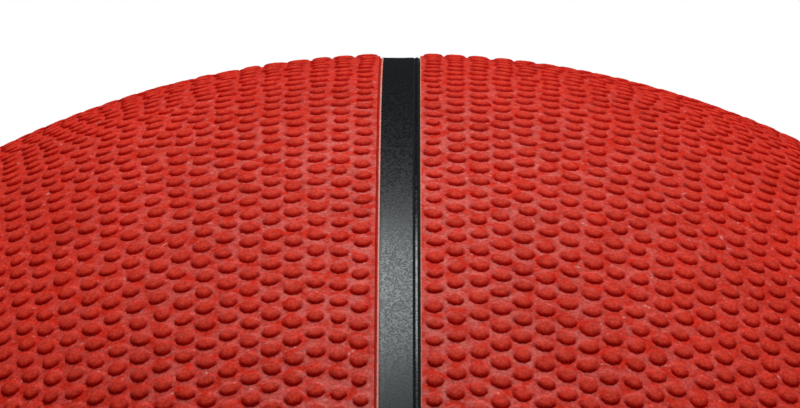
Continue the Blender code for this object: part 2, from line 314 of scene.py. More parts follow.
def waistLines(fromMeridian, fromOval, fromEquator):  # front, oval, back and meridian, counter-clockwise
    low = leaveEquator(meridian, -fromMeridian, fromEquator)
    ovalLow = leaveEquator(rightOval, fromOval, fromEquator)

    def inner(share):
        return beside(meridian, math.pi - low - (math.pi - 2 * low) * share, -fromMeridian)

    def outer(share):
        return beside(rightOval, ovalLow + (math.pi - 2 * ovalLow) * share, fromOval)

    def front(share):
        return alongParallel(inner(1), outer(0), share)

    def back(share):
        return alongParallel(outer(1), inner(0), share)

    return [front, outer, back, inner]


def sideLines(fromOval, fromEquator):  # equator and oval edges, counter-clockwise
    ovalLow = leaveEquator(rightOval, -fromOval, fromEquator)

    def arc(share):
        return beside(rightOval, math.pi - ovalLow - (math.pi - 2 * ovalLow) * share, -fromOval)

    def base(share):
        return alongParallel(arc(1), arc(0), share)

    return [base, arc]


def lengthsAlong(points):  # distance over the ball from the first point
    steps = np.linalg.norm(np.diff(points, axis=0), axis=1) * radius
    return np.concatenate([[0.0], np.cumsum(steps)])


def evenShares(line, step):  # shares of a line at about this step, without its end
    shares = np.linspace(0, 1, samples["edge"])
    lengths = lengthsAlong(line(shares))
    count = max(2, round(lengths[-1] / step))
    return np.interp(np.arange(count) * lengths[-1] / count, lengths, shares)


def tangents(directions):  # two directions square to each
    nearlyAlong = 0.9  # of the first helper
    helper = np.where(np.abs(directions[..., 1:2]) < nearlyAlong, [0.0, 1.0, 0.0], [1.0, 0.0, 0.0])
    east = unit(np.cross(helper, directions))
    return east, np.cross(directions, east)


def circle(axis, count):  # directions square to an axis, counter-clockwise from outside
    east, north = tangents(axis)
    turns = np.arange(count) * 2 * math.pi / count
    return np.cos(turns)[:, None] * east + np.sin(turns)[:, None] * north


def ringRound(axis, distance, count):  # directions this far over the ball from an axis
    return unit(axis * math.cos(distance / radius) + circle(axis, count) * math.sin(distance / radius))


# Pebbles

pebbles = {
    "pitchAlong": 2.87 * mm,  # down a column
    "columns": 28,  # across a waist panel
    "shift": 0.5,  # of the pitch, from a column or row to the next
    "columnSpread": 0.08,  # and how far that varies
    "rowSpread": 0.1,
    "rowPitch": 2.6 * mm,  # on a side panel
    "rowReach": 1.2,  # radians from the middle of a side panel, past the ends of its rows
    "rowsToArc": 1.9 * mm,  # least from the rows to the pebbles along the oval
    "rowsToRing": 1 * mm,  # and to those round the valve
    "fromEdge": 1.4 * mm,  # from a panel's edge to its first row's middle
    "radius": 1.42 * mm,
    "sizeSpread": 0.1,
    "sizeLimits": (0.88, 1.12),
    "slim": 0.84,  # the size of those beside the top channel, to that of the rest
    "slimReach": 9 * mm,
    "oval": 0.04,  # wider across a column than along it
    "ovalSpread": 0.07,
    "ovalMost": 0.1,
    "leanSpread": math.radians(20),
    "height": ball["landDepth"],
    "heightSpread": 0.12,
    "heightLeast": 0.8,
    "jitter": 0.62 * mm,
    "jitterMost": 2,  # in spreads
    "borderJitter": 0.3,  # share of the jitter along the borders
    "neatJitter": 0.15,
    "loosenOver": 20,  # columns over which the jitter grows by its whole
    "neatColumns": 3,  # straight columns beside the top channel
    "neatShift": 0.2,
    "neatGive": 0.2,  # how far they move as the pebbles settle
    "rankSpread": 0.5,
    "lateRank": 100.0,  # of those that fill bare patches
    "leastApart": 2.1 * mm,
    "relaxTo": 2.85 * mm,
    "relaxRounds": 5,
    "relaxShare": 0.3,  # of what is short, put right in a round
    "bareReach": 2.2 * mm,  # a bare patch this wide from its middle takes one more pebble
    "fillRounds": 2,
    "leastToRim": 0.85 * mm,
    "leastLand": 0.035 * mm,  # half the land that stays between two pebbles
    "sides": 10,
    "rings": ((0.44, 0.94), (0.8, 0.66), (1.0, 0.0)),  # share of the radius, share of the height
    "paintedLightFrom": np.array([0.0, 0.5, 0.87]),  # flanks that look this way, towards the lamps, get painted light, and those that look away keep painted shade
    "paintedLightPast": 0.4,  # and this far past square to it
    "paintedLightGrowth": 3,  # power by which that grows from a pebble's middle out
    "crease": math.radians(44),  # bends of a rim sharper than this stay crisp
    "rim": ((0.18, 0.36), (0.12, 0.35), (0.05, 0.38), (0.0, 0.50), (0.0, 1.45)),  # inset and depth in mm
    "rimStep": 1.5 * mm,
    "rimFiner": 6,  # times finer where pebbles are fitted to it
}


def project(directions, middle, scale):
    east, north = tangents(middle)
    return np.stack([directions @ east, directions @ north], -1) * scale[:, None]


def flatten(directions, middle):  # stereographic map in mm, which keeps shapes true
    return project(directions, middle, 2 * radius / mm / (1 + directions @ middle))


def triangles(flat, edges=()):
    points = [Vector(point) for point in flat.tolist()]
    tolerance = 1e-5  # mm
    made = delaunay_2d_cdt(points, edges, [], 1 if edges else 0, tolerance, False)
    if len(made[0]) != len(flat):
        raise ValueError(f"{len(made[0]) - len(flat)} crossed outlines in a panel's triangles")
    faces = np.array(made[2])
    a, b, c = flat[faces[:, 0]], flat[faces[:, 1]], flat[faces[:, 2]]
    area = (b[:, 0] - a[:, 0]) * (c[:, 1] - a[:, 1]) - (b[:, 1] - a[:, 1]) * (c[:, 0] - a[:, 0])
    faces[area < 0] = faces[area < 0][:, ::-1]
    return faces


def ringEdges(rings):  # index pairs round one ring or several
    return np.stack([rings, np.roll(rings, -1, axis=-1)], -1).reshape(-1, 2).tolist()


def within(points, loop):  # even-odd test
    ahead = np.roll(loop, -1, axis=0)
    across, along = points[:, 0:1], points[:, 1:2]
    spans = (loop[:, 1] > along) != (ahead[:, 1] > along)
    slope = (ahead[:, 0] - loop[:, 0]) / np.where(ahead[:, 1] == loop[:, 1], 1, ahead[:, 1] - loop[:, 1])
    return (spans & (across < loop[:, 0] + (along - loop[:, 1]) * slope)).sum(1) % 2 == 1


def neighbours(centres):  # index pairs and their distances
    faces = triangles(flatten(centres, unit(centres.sum(0))))
    pairs = np.concatenate([faces[:, [0, 1]], faces[:, [1, 2]], faces[:, [2, 0]]])
    pairs = np.unique(np.sort(pairs, axis=1), axis=0)
    gaps = (centres[pairs[:, 0]] - centres[pairs[:, 1]]) * radius
    return pairs, gaps, np.linalg.norm(gaps, axis=1)


def thinned(centres, free, rank):  # of two that crowd each other, the lower rank stays
    while True:
        pairs, _, apart = neighbours(centres)
        close = pairs[apart < pebbles["leastApart"]]
        if not len(close):
            return centres, free, rank
        firstWins = rank[close[:, 0]] < rank[close[:, 1]]
        winners, losers = np.where(firstWins[:, None], close, close[:, ::-1]).T
        keep = np.ones(len(centres), bool)
        keep[losers[~np.isin(winners, losers)]] = False
        centres, free, rank = centres[keep], free[keep], rank[keep]


def relaxed(centres, free):  # pushes crowded pebbles apart, so that they settle as in a worn mould
    for _ in range(pebbles["relaxRounds"]):
        pairs, gaps, apart = neighbours(centres)
        short = apart < pebbles["relaxTo"]
        missing = pebbles["relaxTo"] - apart[short, None]
        push = gaps[short] / apart[short, None] * missing * pebbles["relaxShare"]
        move = np.zeros_like(centres)
        np.add.at(move, pairs[short, 0], push)
        np.add.at(move, pairs[short, 1], -push)
        centres = unit(centres + move / radius * free[:, None])
    return centres


def bareMiddles(centres, free):  # middles of the bare patches that have room for one more
    faces = triangles(flatten(centres, unit(centres.sum(0))))
    a, b, c = (centres[faces[:, corner]] for corner in range(3))
    middles = unit(np.cross(b - a, c - a))  # as far from each of the three corners
    room = np.linalg.norm(middles - a, axis=1) * radius
    sides = np.sort([((b - a) ** 2).sum(1), ((c - b) ** 2).sum(1), ((a - c) ** 2).sum(1)], axis=0)
    bare = (room > pebbles["bareReach"]) & (sides[2] < sides[0] + sides[1]) & (free[faces].sum(1) > 0)
    added = []
    for middle in middles[bare][np.argsort(-room[bare])]:
        if all(np.linalg.norm(middle - other) * radius > pebbles["relaxTo"] for other in added):
            added.append(middle)
    return np.reshape(added, (-1, 3))


def settled(centres, free, rank):  # loose pebbles spread out, crowded ones go and bare patches fill up
    centres, free, rank = thinned(relaxed(centres, free), free, rank)
    for _ in range(pebbles["fillRounds"]):
        added = bareMiddles(centres, free)
        centres = np.concatenate([centres, added])
        free = np.concatenate([free, np.ones(len(added))])
        rank = np.concatenate([rank, np.arange(len(added)) + pebbles["lateRank"]])
        centres = relaxed(centres, free)
    return thinned(centres, free, rank)[0]


def jittered(centres, amount, chance):
    most = pebbles["jitterMost"]
    offsets = np.clip(chance.normal(0, 1, centres.shape), -most, most)
    return unit(centres + offsets * (amount / radius)[:, None])


def waistCentres(fromMeridian, chance):
    look = pebbles
    first = ball["panelEdge"] + look["fromEdge"]
    front, outer, back, inner = waistLines(fromMeridian, first, first)
    shares = np.linspace(0, 1, samples["column"])[:, None]
    alongInner, alongOuter = inner(1 - shares[:, 0]), outer(shares[:, 0])
    nearCorners = alongInner[0] * (1 - shares) + alongInner[-1] * shares
    farCorners = alongOuter[0] * (1 - shares) + alongOuter[-1] * shares
    centres, free, rank, jitter = [], [], [], []

    def addRow(points, looseness, order, share):
        count = len(points)
        centres.append(points)
        free.append(np.full(count, looseness))
        rank.append(order + chance.random(count) * look["rankSpread"])
        jitter.append(np.full(count, share * look["jitter"]))

    for line in (front, back):
        addRow(line(evenShares(line, look["rowPitch"])), 0, 1, look["borderJitter"])
    phase = 0.0
    last = look["columns"] - 1
    for column in range(look["columns"]):
        v = column / last
        edges = alongInner * (1 - v) + alongOuter * v + front(v) * (1 - shares) + back(1 - v) * shares
        line = unit(edges - nearCorners * (1 - v) - farCorners * v)
        lengths = lengthsAlong(line)
        pitch = lengths[-1] / round(lengths[-1] / look["pitchAlong"])
        fromSide = min(column, last - column)
        neat = fromSide < look["neatColumns"]
        if column:
            phase += look["neatShift"] if neat else look["shift"] + chance.normal(0, look["columnSpread"])
        places = np.arange(phase % 1 * pitch, lengths[-1], pitch)
        points = np.stack([np.interp(places, lengths, line[:, axis]) for axis in range(3)], -1)
        looseness = (look["neatGive"] if fromSide else 0) if neat else 1
        share = look["neatJitter"] + (0 if neat else fromSide / look["loosenOver"])
        addRow(unit(points), looseness, fromSide + 2, share)
    centres, free, rank = np.concatenate(centres), np.concatenate(free), np.concatenate(rank)
    return settled(jittered(centres, np.concatenate(jitter), chance), free, rank)


def sideCentres(chance, valve=None):
    look = pebbles
    first = ball["panelEdge"] + look["fromEdge"]
    base, arc = sideLines(first, first)

    def outline(points):  # under 1 inside the oval
        across, up = points[:, 1] / points[:, 0], points[:, 2] / points[:, 0]
        return (across / math.tan(ball["ovalHalfLength"])) ** 2 + (up / math.tan(ball["ovalHalfHeight"])) ** 2

    centres = [line(evenShares(line, look["pitchAlong"])) for line in (base, arc)]
    if valve is not None:
        ringCount = round(2 * math.pi * valveSeat["firstPebbles"] / look["pitchAlong"])
        centres.append(ringRound(valve, valveSeat["firstPebbles"], ringCount))
    borders = len(np.concatenate(centres))
    top = math.asin(arc(0.5)[2])
    height = first / radius + look["rowPitch"] / radius
    phase = look["shift"]
    while height < top:
        flat = math.cos(height)
        step = look["pitchAlong"] / radius / flat
        turns = np.arange(phase % 1 * step - look["rowReach"], look["rowReach"], step)
        row = np.stack([flat * np.cos(turns), flat * np.sin(turns), math.sin(height) + 0 * turns], -1)
        centres.append(row[outline(row) < 1])
        height += look["rowPitch"] / radius
        phase += look["shift"] + chance.normal(0, look["rowSpread"])
    centres = np.concatenate(centres)
    border = np.arange(len(centres)) < borders
    along = arc(np.linspace(0, 1, samples["arc"]))
    toArc = np.min(np.linalg.norm(centres[:, None] - along[None], axis=2), axis=1) * radius
    keep = border | (toArc > look["rowsToArc"]) & (outline(centres) < (1 - first / radius) ** 2)
    if valve is not None:
        toValve = np.linalg.norm(centres - valve, axis=1) * radius
        keep &= border | (toValve > valveSeat["firstPebbles"] + look["rowsToRing"])
    centres, border = centres[keep], border[keep]
    rank = np.where(border, 0, 1) + chance.random(len(centres)) * look["rankSpread"]
    loose = np.where(border, look["borderJitter"], 1) * look["jitter"]
    return settled(jittered(centres, loose, chance), np.where(border, 0.0, 1.0), rank)


def newMesh(name, points, faces, material, values=None, spots=None):
    mesh = bpy.data.meshes.new(name)
    mesh.from_pydata(points.tolist(), [], faces)
    for label, numbers in (values or {}).items():
        data = mesh.attributes.new(label, "FLOAT", "POINT").data
        data.foreach_set("value", np.asarray(numbers, np.float32))
    if spots is not None:
        corners = np.empty(len(mesh.loops), np.int32)
        mesh.loops.foreach_get("vertex_index", corners)
        layer = mesh.uv_layers.new(name="OFBake")
        layer.uv.foreach_set("vector", spots[corners].astype(np.float32).ravel())
    mesh.materials.append(material)
    mesh.shade_smooth()
    return mesh


def keepFeetCrisp(mesh, start, sides, count):  # pebbles are round above, and meet the land in a sharp crease
    crisp = np.empty(len(mesh.edges), bool)
    ends = np.empty(2 * len(mesh.edges), np.int32)
    mesh.edges.foreach_get("use_edge_sharp", crisp)
    mesh.edges.foreach_get("vertices", ends)
    ends = ends.reshape(-1, 2)
    owner = (ends - start) // sides
    onFoot = (owner[:, 0] == owner[:, 1]) & (owner[:, 0] >= 0) & (owner[:, 0] < count)
    above = ends.min(1) < start
    mesh.edges.foreach_set("use_edge_sharp", np.where(above, False, crisp | onFoot))


def panelMesh(name, linesAt, centres, leanTo, material, chance, valve=None, edgeShineAmount=0.0):
    look = pebbles
    sides = look["sides"]
    shares = [evenShares(line, look["rimStep"]) for line in linesAt(0.0)]
    loops, holes = [], []
    for inset, depth in look["rim"]:
        lines = zip(linesAt(inset * mm), shares)
        loops.append((np.concatenate([line(share) for line, share in lines]), depth * mm))
        if valve is not None:
            directions = ringRound(valve, valveSeat["hole"] + inset * mm, valveSeat["rimPoints"])
            holes.append((directions, depth * mm))
    middle = unit(centres.sum(0))
    inset, finer = look["rim"][0][0] * mm, look["rimFiner"]
    rims = [line(evenShares(line, look["rimStep"] / finer)) for line in linesAt(inset)]
    if valve is not None:
        rims.append(ringRound(valve, valveSeat["hole"] + inset, finer * valveSeat["rimPoints"]))
    rims = np.concatenate(rims)
    toRim = np.array([np.linalg.norm(rims - centre, axis=1).min() for centre in centres]) * radius
    keep = within(flatten(centres, middle), flatten(loops[0][0], middle)) & (toRim > look["leastToRim"])
    centres, toRim = centres[keep], toRim[keep]
    count = len(centres)
    east, north = tangents(centres)
    lean = leanTo + chance.normal(0, look["leanSpread"], count)[:, None]
    east, north = east * np.cos(lean) + north * np.sin(lean), north * np.cos(lean) - east * np.sin(lean)
    ovalMost = look["ovalMost"]
    stretch = look["oval"] + np.clip(chance.normal(0, look["ovalSpread"], count), -ovalMost, ovalMost)

    def reach(which, way):  # of an oval of unit size, in this direction
        long, short = (way * east[which]).sum(1), (way * north[which]).sum(1)
        return np.hypot((1 + stretch[which]) * long, (1 - stretch[which]) * short) / np.hypot(long, short)

    # as large as usual, where the rim and the neighbours leave room
    most = np.full(count, 2 * look["radius"])
    for one in np.flatnonzero(toRim < 2 * look["radius"]):
        way = rims - centres[one]
        apart = np.linalg.norm(way, axis=1) * radius
        near = apart < 2 * look["radius"]
        most[one] = np.min((apart[near] - look["leastLand"]) / reach(np.full(near.sum(), one), way[near]))
    pairs, gaps, apart = neighbours(centres)
    for which, way in ((pairs[:, 0], -gaps), (pairs[:, 1], gaps)):
        np.minimum.at(most, which, (apart / 2 - look["leastLand"]) / reach(which, way))
    fromTopSeam = np.abs(centres[:, 0]) * radius - cover["right"]["first"]
    swell = look["slim"] + (1 - look["slim"]) * np.clip(fromTopSeam / look["slimReach"], 0, 1)
    usual = look["radius"] * swell * np.clip(chance.normal(1, look["sizeSpread"], count), *look["sizeLimits"])
    size = np.minimum(usual, most)
    lower = np.abs(chance.normal(0, look["heightSpread"], count))
    tall = look["height"] * np.clip(1 - lower, look["heightLeast"], 1)
    spin = chance.random(count) * 2 * math.pi
    land = radius - look["height"]

    points, rise, owners, litFlanks = [], [], [], []
    for (share, lift), corners in zip(look["rings"], (sides // 2, sides, sides)):
        turns = np.arange(corners) * 2 * math.pi / corners + spin[:, None]
        long = (size * share * (1 + stretch))[:, None] * np.cos(turns)
        short = (size * share * (1 - stretch))[:, None] * np.sin(turns)
        spread = east[:, None] * long[..., None] + north[:, None] * short[..., None]
        directions = unit(centres[:, None] * radius + spread)
        points.append((directions * (land + tall * lift)[:, None, None]).reshape(-1, 3))
        rise.append(np.full(count * corners, lift))
        owners.append(np.repeat(np.arange(count), corners))
        # how far each point looks towards the lamps: painted light on that flank, painted shade on the other
        facing = unit(directions - centres[:, None]) @ look["paintedLightFrom"]
        litFlanks.append((share ** look["paintedLightGrowth"] * (facing + look["paintedLightPast"])).ravel())
    starts = np.cumsum([0] + [len(part) for part in points])
    small, wide, feet = (np.arange(*ends).reshape(count, -1) for ends in zip(starts, starts[1:]))
    smallNext, wideNext, feetNext = (np.roll(part, -1, axis=1) for part in (small, wide, feet))
    even, odd = wide[:, 0::2], wide[:, 1::2]
    threes = [
        (small, even, odd),
        (small, odd, smallNext),
        (smallNext, odd, wideNext[:, 1::2]),
        (wide, feet, feetNext),
        (wide, feetNext, wideNext),
    ]
    threes = [np.stack(three, -1).reshape(-1, 3) for three in threes]

    # the land: triangles between the pebbles' feet and the panel's rim
    ground = [unit(points[-1]), loops[0][0]] + [directions for directions, _ in holes[:1]]
    groundStarts = np.cumsum([0] + [len(part) for part in ground])
    edges = ringEdges(np.arange(count * sides).reshape(count, sides))
    for ends in zip(groundStarts[1:], groundStarts[2:]):
        edges += ringEdges(np.arange(*ends))
    faces = triangles(flatten(np.concatenate(ground), middle), edges)
    outline, hole = -1, -2
    owner = np.full(groundStarts[-1], outline)
    owner[:count * sides] = owners[-1]
    owner[groundStarts[2]:] = hole
    who = owner[faces]
    filled = (who == who[:, :1]).all(1) & (who[:, 0] != outline)
    threes.append(starts[2] + faces[~filled])
    points += [part * (radius - loops[0][1]) for part in ground[1:]]
    rimStart = total = starts[2] + groundStarts[-1]

    # rims down to the inner face, and the inner face itself
    fours, lastLoops = [], []
    for place, sets in enumerate((loops, holes)[:len(ground) - 1], 1):
        upper = starts[2] + np.arange(groundStarts[place], groundStarts[place + 1])
        for directions, depth in sets[1:]:
            lower = total + np.arange(len(directions))
            points.append(directions * (radius - depth))
            total += len(directions)
            four = [upper, np.roll(upper, -1), np.roll(lower, -1), lower]
            fours.append(np.stack(four if sets is holes else four[::-1], -1))
            upper = lower
        lastLoops.append((sets[-1][0], upper))
    innerPoints, innerFaces, rimIndex = innerFace(lastLoops, middle)
    innerIndex = np.concatenate([rimIndex, total + np.arange(len(innerPoints))])
    threes.append(innerIndex[innerFaces][:, ::-1])
    points.append(innerPoints * (radius - ball["innerDepth"]))

    points, threes, fours = np.concatenate(points), np.concatenate(threes), np.concatenate(fours)
    rest = (0, len(points) - starts[3])
    shades = chance.random(count)[np.concatenate(owners)]
    values = {
        "rise": np.pad(np.concatenate(rise), rest),
        "chance": np.pad(shades, rest, constant_values=0.5),
        "flank": np.pad(np.concatenate(litFlanks), rest),
    }
    # the rim carries the edge's painted highlight
    values["rise"][rimStart:total] = -edgeShineAmount
    hidden = np.linalg.norm(points, axis=1) < radius - cover["hiddenDepth"]
    spots = bakeSpots(unit(points), middle, hidden)
    print(f"{name}: {count} pebbles, {len(threes) + 2 * len(fours) + (sides // 2 - 2) * count} triangles")
    mesh = newMesh(name, points, small.tolist() + threes.tolist() + fours.tolist(), material, values, spots)
    mesh.set_sharp_from_angle(angle=look["crease"])
    keepFeetCrisp(mesh, starts[2], sides, count)
    return mesh


def innerFace(rims, middle):  # a coarse lining that joins the bottom of the rims
    directions = np.concatenate([rim for rim, _ in rims])
    flat = flatten(directions, middle)
    ways = [np.arange(low, high, cover["liningStep"]) for low, high in zip(flat.min(0), flat.max(0))]
    grid = np.stack([part.ravel() for part in np.meshgrid(*ways)], -1)
    grid = grid[np.min(np.linalg.norm(grid[:, None] - flat[None], axis=2), axis=1) > cover["liningClear"]]
    squared = (grid**2).sum(1) / (2 * radius / mm) ** 2
    cosine = (1 - squared) / (1 + squared)
    spread = (grid @ np.stack(tangents(middle))) * ((1 + cosine) / (2 * radius / mm))[:, None]
    inside = spread + cosine[:, None] * middle
    edges, start = [], 0
    owner = np.full(len(directions) + len(inside), -1)
    for place, (rim, _) in enumerate(rims):
        loop = np.arange(start, start + len(rim))
        edges += ringEdges(loop)
        owner[loop] = place
        start += len(rim)
    faces = triangles(np.concatenate([flat, grid]), edges)
    faces = faces[~(owner[faces] == 1).all(1)]  # not over the valve's hole
    used = np.unique(faces[faces >= start])
    renumber = np.arange(len(owner))
    renumber[used] = start + np.arange(len(used))
    return inside[used - start], renumber[faces], np.concatenate([index for _, index in rims])


# start and width of each region of a bake
bakeMap = {"shown": (0.01, 0.94), "hidden": (0.97, 0.02), "along": (0.01, 0.98), "strip": (0.01, 0.9)}


def fitTo(region, share):
    start, width = bakeMap[region]
    return start + width * share


def bakeSpots(directions, middle, hidden):  # an equal-area map, with the lining in a narrow strip of its own
    flat = project(directions, middle, np.sqrt(2 / (1 + directions @ middle)))
    flat = (flat - flat.min(0)) / (flat.max(0) - flat.min(0))
    across, along = flat.T
    across = np.where(hidden, fitTo("hidden", across), fitTo("shown", across))
    return np.stack([across, fitTo("along", along)], -1)


def addPiece(name, mesh, node, body="ball", turn=halfTurns["upper_right"]):
    piece = bpy.data.objects.new(name, mesh)
    bpy.context.scene.collection.objects.link(piece)
    piece.matrix_world = turn
    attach(piece, body)
    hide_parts(node)


def mirrored(lines):  # the same edges left of the meridian, still counter-clockwise

    def flip(line):
        return lambda share: line(1 - share) * [-1, 1, 1]

    return [flip(line) for line in reversed(lines)]


cover = {
    # from the top seam, which its channel sits a little off, to the panel's edge and its first column of
    # pebbles, and how much painted highlight that edge has
    "right": {"seed": 11, "edge": 2.37 * mm, "first": 4.0 * mm, "edgeShine": 1.0},
    "left": {"seed": 23, "edge": 2.79 * mm, "first": 4.45 * mm, "edgeShine": 0.0},
    "sideSeed": 37,
    "valveSideSeed": 53,
    "hiddenDepth": 1.2 * mm,  # what is deeper is lining
    "liningStep": 8.0,  # mm
    "liningClear": 3.0,  # mm from the rims
}


def addCover(material):
    edge = ball["panelEdge"]
    for side in ("right", "left"):
        look = cover[side]
        chance = np.random.default_rng(look["seed"])
        centres = waistCentres(look["first"], chance)

        def linesAt(inset):
            lines = waistLines(look["edge"] + inset, edge + inset, edge + inset)
            return mirrored(lines) if side == "left" else lines

        if side == "left":
            centres = centres * [-1, 1, 1]
        name = "waistPanel_" + side
        mesh = panelMesh(name, linesAt, centres, 0.0, material, chance, edgeShineAmount=look["edgeShine"])
        for level in ("upper", "lower"):
            place = f"{level}_{side}"
            turn = halfTurns[level + "_right"]
            addPiece("cover_waist_" + place, mesh, "waist_panel_" + place, turn=turn)

    def sideLinesAt(inset):
        return sideLines(edge + inset, edge + inset)

    valve = unit(np.array(valveSeat["axis"])) * [-1, -1, 1]  # turned with its panel to the upper right
    plain = np.random.default_rng(cover["sideSeed"])
    plainMesh = panelMesh("sidePanel", sideLinesAt, sideCentres(plain), math.pi / 2, material, plain)
    pierced = np.random.default_rng(cover["valveSideSeed"])
    around = sideCentres(pierced, valve)
    piercedMesh = panelMesh("sidePanel_valve", sideLinesAt, around, math.pi / 2, material, pierced, valve)
    for place, turn in halfTurns.items():
        mesh = piercedMesh if place == "upper_left" else plainMesh
        addPiece("cover_side_" + place, mesh, "side_panel_" + place, turn=turn)


# Channel strips

channels = {
    # across in mm from the centre line, depth in mm under the pebble tips, black (1), red in painted shade
    # (0.5) or bare (0), roughness
    "top": (
        (-2.76, 1.40, 0.5, 0.9), (-2.76, 0.67, 0.5, 0.9),
        (-2.62, 0.66, 0.5, 0.9), (-2.57, 0.62, 0.5, 0.8),  # a groove beside the bare edge, in painted shade
        (-2.52, 0.56, 0, 0.5), (-2.48, 0.53, 0, 0.5), (-2.35, 0.54, 0, 0.5),  # the bare edge, painted pale as a highlight
        (-2.31, 0.56, 1, 0.33), (-1.6, 0.59, 1, 0.33), (0.0, 0.62, 1, 0.33),
        (1.3, 0.59, 1, 0.33), (1.50, 0.585, 1, 0.33),
        (1.55, 0.64, 1, 0.9), (1.60, 0.67, 1, 0.9), (1.72, 0.67, 1, 0.9), (1.78, 0.62, 1, 0.9),  # matt groove
        (1.83, 0.565, 1, 0.2), (2.06, 0.555, 1, 0.2),  # a narrow line between two grooves, rubbed smooth
        (2.11, 0.59, 1, 0.9), (2.16, 0.65, 1, 0.9), (2.33, 0.65, 1, 0.9), (2.33, 1.40, 1, 0.9),
    ),
    "otherHalf": (  # up to the centre line, and the same beyond it
        (-2.42, 1.40, 1, 0.9), (-2.42, 0.74, 1, 0.9), (-2.34, 0.58, 1, 0.5), (-2.2, 0.54, 1, 0.25),
        (-2.06, 0.55, 1, 0.25), (-1.96, 0.68, 1, 0.9), (-1.86, 0.68, 1, 0.9),
        (-1.76, 0.58, 1, 0.33), (0.0, 0.62, 1, 0.33),
    ),
    "step": 2.0 * mm,
    "crease": math.radians(30),
}


def stripMesh(name, seam, start, finish, profile, material):
    profile = np.array(profile)
    width = len(profile)
    closed = finish - start >= 2 * math.pi
    shares = np.linspace(0, 1, samples["strip"])
    lengths = lengthsAlong(seam(start + (finish - start) * shares))
    count = round(lengths[-1] / channels["step"])
    places = np.arange(count if closed else count + 1) / count * lengths[-1]
    angles = start + (finish - start) * np.interp(places, lengths, shares)
    rows = [beside(seam, angles, -across * mm) * (radius - depth * mm) for across, depth, _, _ in profile]
    points = np.stack(rows, 1).reshape(-1, 3)
    index = np.arange(len(points)).reshape(-1, width)
    ahead = np.roll(index, -1, axis=0) if closed else index[1:]
    index = index if closed else index[:-1]
    beyond = np.roll(index, -1, axis=1)
    aheadBeyond = np.roll(ahead, -1, axis=1)
    faces = np.stack([index, beyond, aheadBeyond, ahead], -1).reshape(-1, 4).tolist()
    if not closed:
        faces += [list(range(width))[::-1], list(range(len(points) - width, len(points)))]
    along = np.repeat(places / lengths[-1], width)
    across = np.tile(np.arange(width) / (width - 1), len(places))
    spots = np.stack([fitTo("along", along), fitTo("strip", across)], -1)
    values = {"paint": np.tile(profile[:, 2], len(places)), "finish": np.tile(profile[:, 3], len(places))}
    mesh = newMesh(name, points, faces, material, values, spots)
    mesh.set_sharp_from_angle(angle=channels["crease"])
    return mesh


def addChannels(material):
    crossing = math.radians(90) - ball["ovalHalfLength"]
    end = ball["panelEdge"] / radius
    half = channels["otherHalf"]
    other = half + tuple((-across, *rest) for across, *rest in half[-2::-1])
    ring = stripMesh("topStrip", meridian, 0, 2 * math.pi, channels["top"], material)
    oval = stripMesh("ovalStrip", rightOval, 0, 2 * math.pi, other, material)
    short = stripMesh("frontStrip", equator, end, crossing - end, other, material)
    long = stripMesh("sideStrip", equator, crossing + end, math.pi - crossing - end, other, material)
    pieces = {
        "meridian": (ring, "upper_right"),
        "oval_right": (oval, "upper_right"),
        "oval_left": (oval, "upper_left"),
        "equator_front_right": (short, "upper_right"),
        "equator_back_left": (short, "upper_left"),
        "equator_back_right": (short, "lower_right"),
        "equator_front_left": (short, "lower_left"),
        "equator_right": (long, "upper_right"),
        "equator_left": (long, "upper_left"),
    }
    for name, (mesh, place) in pieces.items():
        addPiece("strip_" + name, mesh, "channel_" + name, turn=halfTurns[place])


# Valve

valveSeat = {
    "axis": (-0.797888, 0.578469, 0.169551),
    "face": 120.4 * mm,  # from the ball's centre to the flat face
    "hole": 5.8 * mm,  # radius of the hole in the cover
    "rimPoints": 48,
    "firstPebbles": 8.9 * mm,  # radius of the ring of pebbles round the smooth seat
    "steps": 72,
    "crease": math.radians(50),
    # radius and height from the flat face, in mm, from the seat's foot round to the bore
    "housing": (
        (2.8, -1.5), (3.55, -1.5), (3.6, -1.4), (3.6, -0.2),  # seat of the plug's head
        (3.66, -0.06), (3.8, 0.0), (5.2, 0.0), (5.4, -0.08), (5.5, -0.25), (5.5, -6.3),  # flat face and neck
        (5.8, -6.56), (10.6, -6.56), (11.0, -6.8), (11.0, -7.8), (10.6, -8.06), (5.8, -8.06),  # flange
        (5.5, -8.3), (5.5, -16.7), (5.2, -17.0), (3.0, -17.0), (2.8, -16.8),
    ),
    "plug": (
        (0.0, -10.0), (0.5, -9.7), (0.7, -9.3), (0.7, -0.6), (0.8, -0.35), (1.2, -0.04),  # the needle's hole
        (1.5, 0.0), (2.95, 0.0), (3.18, -0.06), (3.3, -0.25), (3.3, -1.0), (3.15, -1.2),  # head
        (2.6, -1.2), (2.5, -1.3), (2.5, -4.0), (2.42, -4.2), (2.42, -4.6), (2.5, -4.8), (2.5, -8.0),
        (2.42, -8.2), (2.42, -8.6), (2.5, -8.8), (2.5, -12.9), (2.38, -13.3),  # stem, with two grooves
        (1.8, -14.3), (1.5, -14.5), (0.0, -14.5),
    ),
}


def turnedMesh(name, profile, material, closed):
    axis = unit(np.array(valveSeat["axis"]))
    steps = valveSeat["steps"]
    points, places = [], []
    for across, height in profile:
        spread = circle(axis, steps)
        if across == 0:
            spread = spread[:1]
        places.append(np.resize(np.arange(len(spread)) + sum(map(len, points)), steps))
        points.append(axis * (valveSeat["face"] + height * mm) + spread * across * mm)
    faces = []
    rows = list(zip(places, places[1:])) + ([(places[-1], places[0])] if closed else [])
    for upper, lower in rows:
        for step in range(steps):
            ahead = (step + 1) % steps
            corners = [int(corner) for corner in (upper[step], lower[step], lower[ahead], upper[ahead])]
            faces.append(list(dict.fromkeys(corners)))  # a point on the axis counts once
    mesh = newMesh(name, np.concatenate(points), faces, material)
    mesh.set_sharp_from_angle(angle=valveSeat["crease"])
    return mesh


